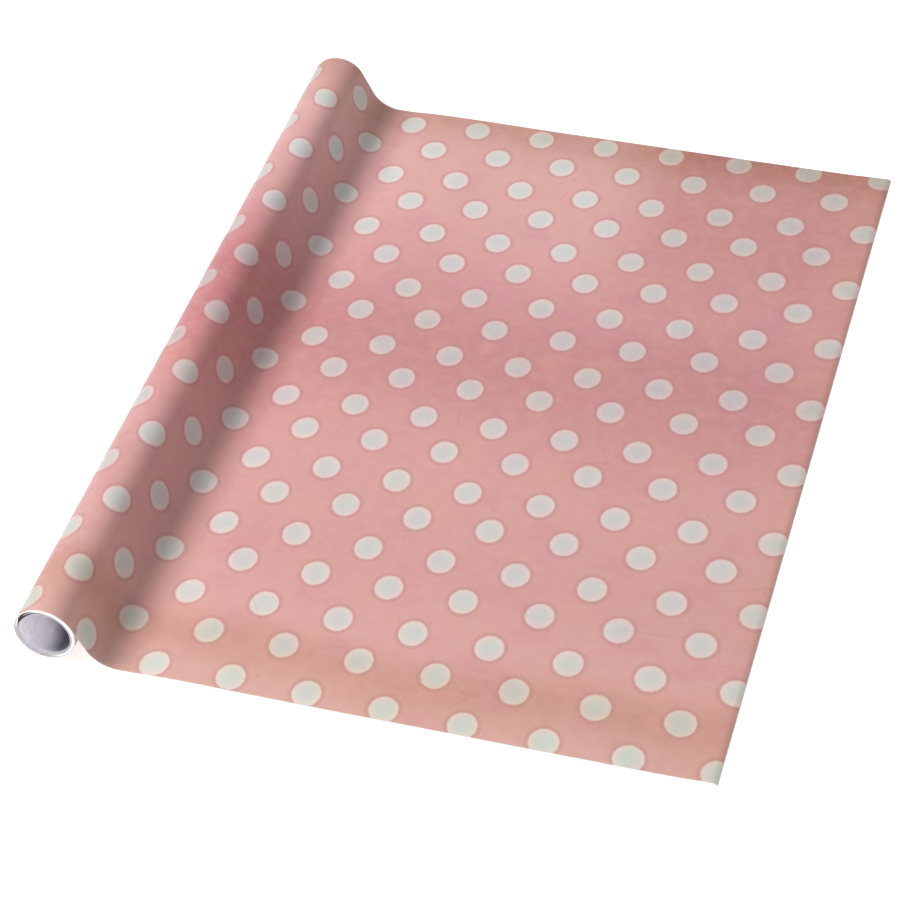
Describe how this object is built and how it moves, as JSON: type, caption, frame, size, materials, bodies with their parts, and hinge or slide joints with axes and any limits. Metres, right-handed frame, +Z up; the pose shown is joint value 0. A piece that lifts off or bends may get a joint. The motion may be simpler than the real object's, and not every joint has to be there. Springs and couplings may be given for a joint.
{
  "type": "wrapping paper roll",
  "caption": "Roll of polka-dot wrapping paper on a board core, its printed sheet drawn off over the top of the roll and lying flat beside it.",
  "frame": {"origin": "centre of the footprint, on the table that the roll and the sheet lie on", "axes": "+X the way the sheet is drawn off the roll, +Y along the roll, +Z up"},
  "size_m": [0.5568, 0.762, 0.0505],
  "materials": {
    "core_board": "grey board, matt",
    "tape": "clear adhesive tape, satin",
    "wound_paper": "cut edges of white paper printed pink on one side, matt",
    "printed_paper": "faded pink print with off-white dots, matt"
  },
  "bodies": {
    "web": {"outer_turn": "printed_paper", "web_slope": "printed_paper", "fed_span": "printed_paper"},
    "roll": {"core_inner_ply": "core_board", "core_outer_ply": "core_board", "start_tape": "tape", "wound_turns": "wound_paper"},
    "near_sheet": {"near_panel": "printed_paper"},
    "mid_sheet": {"mid_panel": "printed_paper"},
    "end_sheet": {"end_panel": "printed_paper"}
  },
  "joints": [
    {"name": "roll_spin", "type": "hinge", "parent": "web", "child": "roll", "pos_m": [-0.25313, 0, 0.0253], "axis": [0, 1, 0], "range_deg": [-283.05, 566.11]},
    {"name": "sheet_feed", "type": "slide", "parent": "web", "child": "near_sheet", "axis": [1, 0, 0], "range_m": [-0.1241, 0.2481], "deforming": ["fed_span"]},
    {"name": "sheet_lift", "type": "hinge", "parent": "near_sheet", "child": "mid_sheet", "pos_m": [0.07768, 0, 0.0002], "axis": [0, -1, 0], "range_deg": [0, 60]},
    {"name": "end_curl", "type": "hinge", "parent": "mid_sheet", "child": "end_sheet", "pos_m": [0.17818, 0, 0.0002], "axis": [0, -1, 0], "range_deg": [0, 60]}
  ],
  "couplings": [
    {"joint": "sheet_feed", "follows": "roll_spin", "m_per_rad": 0.0251}
  ]
}
